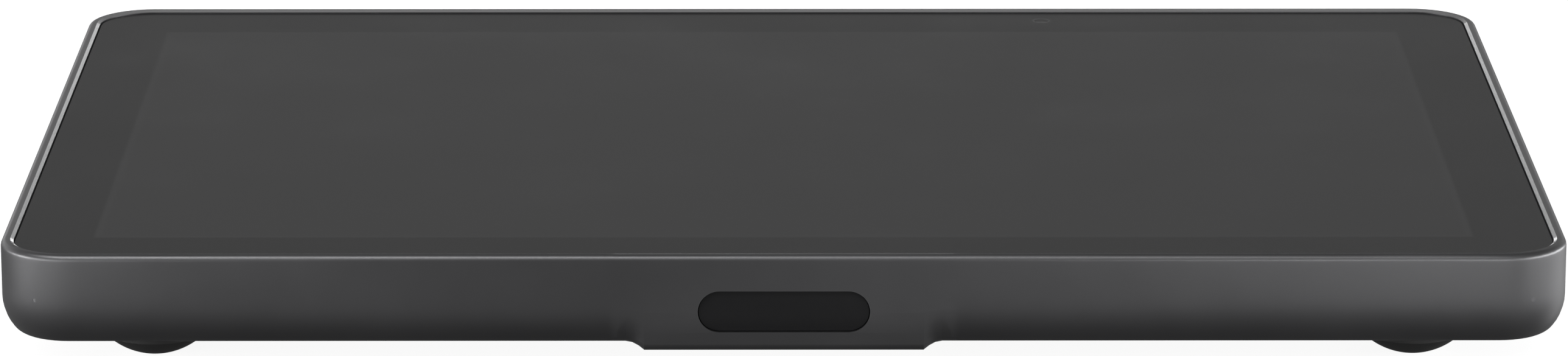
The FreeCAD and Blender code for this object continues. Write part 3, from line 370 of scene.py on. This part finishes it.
def smoked_plastic(name, color):
    """The sensor window: smooth and dark, with a faint haze in it."""
    g = Graph(name)
    haze = g.noise(1.6 * MM, 3.0)
    specks = g.noise(0.08 * MM, 2.0)
    wear = g.worn_edge(0.2 * MM)
    base = g.mix(haze, tint(color, 0.9), tint(color, 1.15))
    base = g.mix(g.math("MULTIPLY", wear, 0.3), base, tint(color, 2.0))
    g.set(Base_Color=base, Roughness=g.ramp(specks, 0.3, 0.7, 0.30, 0.38), IOR=1.49)
    g.bump(specks, 0.002 * MM, 0.3)
    return g.material


def metal(name, color, shine=0.34, stretch=(1, 1, 1), depth=0.004 * MM):
    """Sheet or turned metal, with its rolling or turning marks drawn out along one axis."""
    g = Graph(name)
    marks = g.noise(0.3 * MM, 4.0, 0.6, g.stretch(stretch))
    stain = g.noise(7 * MM, 4.0)
    wear = g.worn_edge(0.12 * MM)
    base = g.mix(stain, tint(color, 0.88), tint(color, 1.06))
    base = g.mix(g.math("MULTIPLY", wear, 0.4), base, tint(color, 1.35))
    g.set(Base_Color=base, Metallic=1.0,
          Roughness=g.ramp(marks, 0.25, 0.75, shine - 0.08, shine + 0.1))
    g.bump(marks, depth, 0.5)
    return g.material


# Materials of the inside ------------------------------------------------------------------------

def film(name, color, alpha=1.0, shine=0.2):
    """A thin sheet with a faint haze in it."""
    g = Graph(name)
    haze = g.noise(3 * MM, 4.0)
    g.set(Base_Color=g.mix(haze, tint(color, 0.94), tint(color, 1.04)),
          Roughness=g.ramp(haze, 0.3, 0.7, shine, shine + 0.1))
    g.shader.inputs["Alpha"].default_value = alpha
    g.bump(haze, 0.002 * MM, 0.2)
    return g.material


def foam(name, color):
    g = Graph(name)
    pores = g.cells(0.4 * MM, "SMOOTH_F1")
    g.set(Base_Color=g.mix(pores, tint(color, 0.5), tint(color, 1.6)), Roughness=0.9)
    g.bump(pores, 0.1 * MM, 0.8)
    return g.material


def circuit_board(name, color):
    """Solder mask with tracks, and tinned pads here and there."""
    g = Graph(name)
    x, _, z = g.parts()
    tracks = g.math("PINGPONG", g.math("ADD", g.math("ADD", x, z), g.noise(9 * MM, 0.0)), 0.5)
    stripe = g.ramp(g.math("PINGPONG", g.math("MULTIPLY", tracks, 1000.0), 0.5), 0.2, 0.26)
    pads = g.ramp(g.cells(2.2 * MM), 0.16, 0.13)
    mask = g.mix(stripe, tint(color, 0.8), tint(color, 1.5))
    g.set(Base_Color=g.mix(pads, mask, (0.62, 0.6, 0.55)), Metallic=pads,
          Roughness=g.blend(pads, 0.32, 0.25))
    g.bump(g.math("ADD", stripe, pads), 0.03 * MM, 0.6)
    return g.material


def led_board(name, color):
    """A white strip with an amber lamp every seven millimetres."""
    g = Graph(name)
    x, _, _ = g.parts()
    lamp = g.ramp(g.math("PINGPONG", x, 3.5 * MM), 1.2 * MM, 1.3 * MM)
    g.set(Base_Color=g.mix(lamp, (0.85, 0.55, 0.12), color), Roughness=g.blend(lamp, 0.2, 0.5))
    g.bump(lamp, 0.1 * MM, 0.5)
    return g.material


def ribbon_film(name, color):
    """Amber film with copper tracks running along it."""
    g = Graph(name)
    x, _, _ = g.parts()
    track = g.ramp(g.math("PINGPONG", x, 0.25 * MM), 0.1 * MM, 0.14 * MM)
    g.set(Base_Color=g.mix(track, tint(color, 0.8), tint(color, 1.5)), Roughness=0.3)
    g.bump(track, 0.02 * MM, 0.5)
    return g.material


def knurled_brass(name, color):
    g = Graph(name)
    x, y, z = g.parts()
    rows = g.math("PINGPONG", g.math("ADD", x, z), 0.3 * MM)
    other = g.math("PINGPONG", g.math("SUBTRACT", y, z), 0.3 * MM)
    knurl = g.math("MULTIPLY", g.math("ADD", rows, other), 1600.0)
    stain = g.noise(1.5 * MM, 3.0)
    g.set(Base_Color=g.mix(stain, tint(color, 0.8), tint(color, 1.1)), Metallic=1.0,
          Roughness=g.ramp(stain, 0.3, 0.7, 0.24, 0.4))
    g.bump(knurl, 0.08 * MM, 0.5)
    return g.material


HOUSING_TONE = (0.175, 0.175, 0.180)

MAKERS = {
    "anodised_housing": lambda n: anodised(n, HOUSING_TONE, True),
    "anodised_button": lambda n: anodised(n, tint(HOUSING_TONE, 1.15), False),
    "cover_glass": cover_glass,
    "window_plastic": lambda n: smoked_plastic(n, (0.012, 0.012, 0.013)),
    "foot_rubber": lambda n: rubber(n, (0.021, 0.021, 0.021)),
    "rubber": lambda n: rubber(n, (0.03, 0.03, 0.03)),
    "adhesive": lambda n: rubber(n, (0.012, 0.012, 0.012), 0.5),
    "black_plastic": lambda n: plastic(n, (0.022, 0.022, 0.023)),
    "lens_plastic": lambda n: plastic(n, (0.01, 0.01, 0.013), 0.14, 0.5 * MM, 0.001 * MM),
    "speaker_plastic": lambda n: plastic(n, (0.03, 0.03, 0.031), 0.5),
    "aerial_plastic": lambda n: plastic(n, (0.075, 0.075, 0.078), 0.5),
    "switch_plastic": lambda n: plastic(n, (0.05, 0.05, 0.052), 0.4),
    "chip_resin": lambda n: plastic(n, (0.03, 0.03, 0.032), 0.55),
    "connector_steel": lambda n: metal(n, (0.52, 0.52, 0.51), 0.3, (1, 0.1, 1)),
    "pressed_steel": lambda n: metal(n, (0.55, 0.55, 0.56), 0.38, (0.08, 1, 1)),
    "tinned_steel": lambda n: metal(n, (0.66, 0.66, 0.64), 0.34, (0.1, 1, 1)),
    "bare_aluminium": lambda n: metal(n, (0.62, 0.62, 0.63), 0.42, (0.06, 1, 1)),
    "fastener_steel": lambda n: metal(n, (0.30, 0.30, 0.31), 0.3),
    "shutter_steel": lambda n: metal(n, (0.05, 0.05, 0.05), 0.5, (0.1, 1, 1)),
    "driver_steel": lambda n: metal(n, (0.2, 0.2, 0.2), 0.4),
    "insert_brass": lambda n: knurled_brass(n, (0.75, 0.56, 0.25)),
    "touch_film": lambda n: film(n, (0.6, 0.62, 0.62), 0.35, 0.08),
    "lcd_cell": lambda n: film(n, (0.018, 0.018, 0.02), 1.0, 0.1),
    "optical_film": lambda n: film(n, (0.85, 0.85, 0.85), 1.0, 0.5),
    "acrylic": lambda n: film(n, (0.85, 0.88, 0.88), 0.7, 0.05),
    "thermal_rubber": lambda n: rubber(n, (0.35, 0.38, 0.42), 0.75),
    "foam": lambda n: foam(n, (0.03, 0.03, 0.03)),
    "circuit_board": lambda n: circuit_board(n, (0.012, 0.07, 0.035)),
    "led_board": lambda n: led_board(n, (0.85, 0.85, 0.83)),
    "ribbon_film": lambda n: ribbon_film(n, (0.42, 0.18, 0.04)),
}


def dress_nodes():
    """Gives every CAD node the material of its slot."""
    made = {slot: maker(slot) for slot, maker in MAKERS.items()}
    for part in frame["record"]["subparts"]:
        mesh = nodes[part["node"]].data
        mesh.materials.clear()
        mesh.materials.append(made[part["material_slot"]])


# The microphones' mesh --------------------------------------------------------------------------

def woven_steel(name, color):
    """Fine dark wire cloth."""
    g = Graph(name)
    x, _, z = g.parts()
    wires = g.math("MULTIPLY", g.math("ABSOLUTE", g.math("SINE", g.math("DIVIDE", x, WIRE_PITCH))),
                   g.math("ABSOLUTE", g.math("SINE", g.math("DIVIDE", z, WIRE_PITCH))))
    g.set(Base_Color=g.mix(wires, tint(color, 1.1), tint(color, 0.7)), Metallic=0.9,
          Roughness=g.ramp(wires, 0.0, 1.0, 0.4, 0.6))
    g.bump(wires, 0.01 * MM, 0.6)
    return g.material


def mic_mesh(side, word, material):
    """A disc of wire cloth just inside a microphone hole, curved like the corner around it."""
    board_low, board_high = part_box(f"mic_board_{word}")
    middle_z = (board_low.z + board_high.z) / 2
    centre_x, centre_y = HALF_X - CORNER, -(HALF_Y - CORNER)
    shape = bmesh.new()
    rings = []
    for ring in range(MESH_RINGS + 1):
        points = []
        for turn in range(MESH_TURNS if ring else 1):
            angle = math.tau * turn / MESH_TURNS
            reach = MIC_RADIUS * ring / MESH_RINGS
            along = MIC_X + reach * math.cos(angle)
            back = centre_y - math.sqrt((CORNER - MESH_DEPTH) ** 2 - (along - centre_x) ** 2)
            points.append(shape.verts.new((side * along, back, middle_z + reach * math.sin(angle))))
        rings.append(points)
    for inner, outer in zip(rings, rings[1:]):
        for turn in range(MESH_TURNS):
            after = (turn + 1) % MESH_TURNS
            start = [inner[0]] if len(inner) == 1 else [inner[turn], inner[after]]
            shape.faces.new([*start, outer[after], outer[turn]])
    bmesh.ops.recalc_face_normals(shape, faces=shape.faces)
    bmesh.ops.solidify(shape, geom=shape.faces[:], thickness=MESH_THICKNESS)
    bmesh.ops.recalc_face_normals(shape, faces=shape.faces)
    mesh = bpy.data.meshes.new(f"mic_mesh_{word}")
    shape.to_mesh(mesh)
    shape.free()
    mesh.materials.append(material)
    piece = bpy.data.objects.new(f"mic_mesh_{word}", mesh)
    bpy.context.scene.collection.objects.link(piece)
    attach(piece, BODY)


def make_mic_meshes():
    cloth = woven_steel("mic_cloth", (0.2, 0.2, 0.205))
    mic_mesh(-1, "left", cloth)
    mic_mesh(1, "right", cloth)


# Floor, light and camera ------------------------------------------------------------------------

# The studio's tone at each height above the horizon, given as the sine of the angle.
SKY = ((-1.0, 0.07), (-0.35, 0.22), (-0.05, 0.07), (0.08, 0.1), (0.2, 0.2), (0.32, 0.2),
       (0.6, 0.12), (1.0, 0.15))
BACKDROP = (0.93, 0.93, 0.93, 1.0)
FLOOR_HALF = 6.0
FLOOR_GLOW = 0.9
# A white board low on the right: which way it lies, how far it spreads as cosines, and its tone.
BOARD_WAY = (0.82, 0.50, -0.27)
BOARD_SPREAD = (0.88, 0.97)
BOARD_TONE = 0.75

# Softboxes: place, aim, width, height and power. The low ones are thin, so that the glass doesn't
# mirror them at the angles the object is looked at from.
LIGHTS = {
    "front_top": ((-0.35, -0.45, 1.0), (-0.05, -0.08, 0.01), 0.8, 0.3, 4.3),
    "front_high": ((0.0, -0.75, 0.75), (0.0, -0.08, 0.01), 1.2, 0.3, 1.1),
    "side_left": ((-0.8, -0.15, 0.05), (-0.12, -0.05, 0.01), 0.4, 0.09, 0.5),
    "side_right": ((0.8, -0.15, 0.05), (0.12, -0.05, 0.01), 0.4, 0.09, 0.5),
    "low_left": ((-0.42, -0.22, 0.03), (-0.11, -0.07, 0.01), 0.3, 0.05, 0.40),
    "low_right": ((0.42, -0.22, 0.03), (0.11, -0.07, 0.01), 0.3, 0.05, 0.44),
    "rear_left": ((-0.5, -0.06, 0.03), (-0.11, -0.07, 0.01), 0.3, 0.05, 0.22),
    "rear_right": ((0.44, 0.05, 0.03), (0.11, -0.07, 0.01), 0.25, 0.05, 0.45),
    "corner_left": ((-0.16, -0.19, 0.02), (-0.1, -0.08, 0.01), 0.08, 0.03, 0.026),
    "corner_right": ((0.13, -0.24, 0.02), (0.08, -0.08, 0.01), 0.12, 0.03, 0.054),
    "back_left": ((-0.7, 0.6, 0.28), (-0.1, 0.0, 0.01), 0.9, 0.5, 1.1),
    "back_right": ((0.7, 0.6, 0.28), (0.1, 0.0, 0.01), 0.9, 0.5, 0.4),
    "behind": ((0.0, 1.6, 0.21), (0.0, 0.0, 0.02), 1.6, 0.12, 1.3),
}

# The camera: its sideways place, distance from the front wall, height over the rim, angles in
# degrees and focal length in millimetres.
CAMERA_X = -2.07 * MM
CAMERA_AWAY = 1018.75 * MM
CAMERA_RISE = 285.06 * MM
CAMERA_DIP = 14.977
CAMERA_TURN = -0.117
FOCAL_LENGTH = 156.1


def make_floor():
    """A plain pale floor, seen by the camera only, so that the body mirrors the studio instead."""
    mesh = bpy.data.meshes.new("floor")
    shape = bmesh.new()
    bmesh.ops.create_grid(shape, x_segments=1, y_segments=1, size=FLOOR_HALF)
    shape.to_mesh(mesh)
    shape.free()
    floor = bpy.data.objects.new("floor", mesh)
    bpy.context.scene.collection.objects.link(floor)
    g = Graph("floor_paint")
    g.set(Base_Color=(0.55, 0.55, 0.55), Roughness=0.9, Emission_Color=(1.0, 1.0, 1.0))
    g.shader.inputs["Emission Strength"].default_value = FLOOR_GLOW
    g.shader.inputs["Specular IOR Level"].default_value = 0.0
    mesh.materials.append(g.material)
    floor.visible_glossy = False
    floor.visible_diffuse = False


def with_board(tree, way, tone):
    """The studio's tone with the white board's light added."""
    toward = tree.nodes.new("ShaderNodeVectorMath")
    toward.operation = "DOT_PRODUCT"
    tree.links.new(way, toward.inputs[0])
    toward.inputs[1].default_value = BOARD_WAY
    board = tree.nodes.new("ShaderNodeMapRange")
    board.interpolation_type = "SMOOTHSTEP"
    tree.links.new(toward.outputs["Value"], board.inputs[0])
    board.inputs[1].default_value, board.inputs[2].default_value = BOARD_SPREAD
    board.inputs[4].default_value = BOARD_TONE
    total = tree.nodes.new("ShaderNodeVectorMath")
    tree.links.new(tone, total.inputs[0])
    tree.links.new(board.outputs[0], total.inputs[1])
    return total.outputs[0]


def make_world():
    """A dim studio whose tone changes with height only, behind a pale backdrop."""
    world = bpy.data.worlds.new("studio")
    bpy.context.scene.world = world
    world.use_nodes = True
    tree = world.node_tree
    coords = tree.nodes.new("ShaderNodeTexCoord")
    split = tree.nodes.new("ShaderNodeSeparateXYZ")
    tree.links.new(coords.outputs["Generated"], split.inputs[0])
    height = tree.nodes.new("ShaderNodeMapRange")
    tree.links.new(split.outputs[2], height.inputs[0])
    height.inputs[1].default_value = -1.0
    ramp = tree.nodes.new("ShaderNodeValToRGB")
    tree.links.new(height.outputs[0], ramp.inputs[0])
    elements = ramp.color_ramp.elements
    while len(elements) < len(SKY):
        elements.new(0.5)
    for element, (sine, tone) in zip(elements, SKY):
        element.position = (sine + 1) / 2
        element.color = (tone, tone, tone, 1.0)
    seen = tree.nodes.new("ShaderNodeMix")
    seen.data_type = "RGBA"
    tree.links.new(tree.nodes.new("ShaderNodeLightPath").outputs["Is Camera Ray"],
                   seen.inputs["Factor"])
    tree.links.new(with_board(tree, coords.outputs["Generated"], ramp.outputs[0]), seen.inputs["A"])
    seen.inputs["B"].default_value = BACKDROP
    tree.links.new(seen.outputs["Result"], tree.nodes["Background"].inputs[0])


def make_lights():
    for name, (place, aim, width, height, power) in LIGHTS.items():
        light = bpy.data.lights.new(name, "AREA")
        light.shape = "RECTANGLE"
        light.size, light.size_y = width, height
        light.energy = power
        lamp = bpy.data.objects.new(name, light)
        lamp.location = place
        lamp.rotation_euler = (Vector(aim) - Vector(place)).to_track_quat("-Z", "Y").to_euler()
        bpy.context.scene.collection.objects.link(lamp)


def make_camera():
    """The viewpoint: nearly square on to the front wall, from about 15 degrees above level."""
    camera = bpy.data.objects.new("camera", bpy.data.cameras.new("camera"))
    camera.location = (CAMERA_X, shell_low.y - CAMERA_AWAY, RIM_Z + CAMERA_RISE)
    camera.rotation_euler = (math.radians(90 - CAMERA_DIP), 0.0, math.radians(CAMERA_TURN))
    camera.data.lens = FOCAL_LENGTH
    camera.data.sensor_width = 36.0
    camera.data.clip_start = 0.01
    bpy.context.scene.collection.objects.link(camera)
    bpy.context.scene.camera = camera


dress_nodes()
make_mic_meshes()
make_floor()
make_world()
make_lights()
make_camera()
bpy.context.scene.view_settings.view_transform = "Standard"
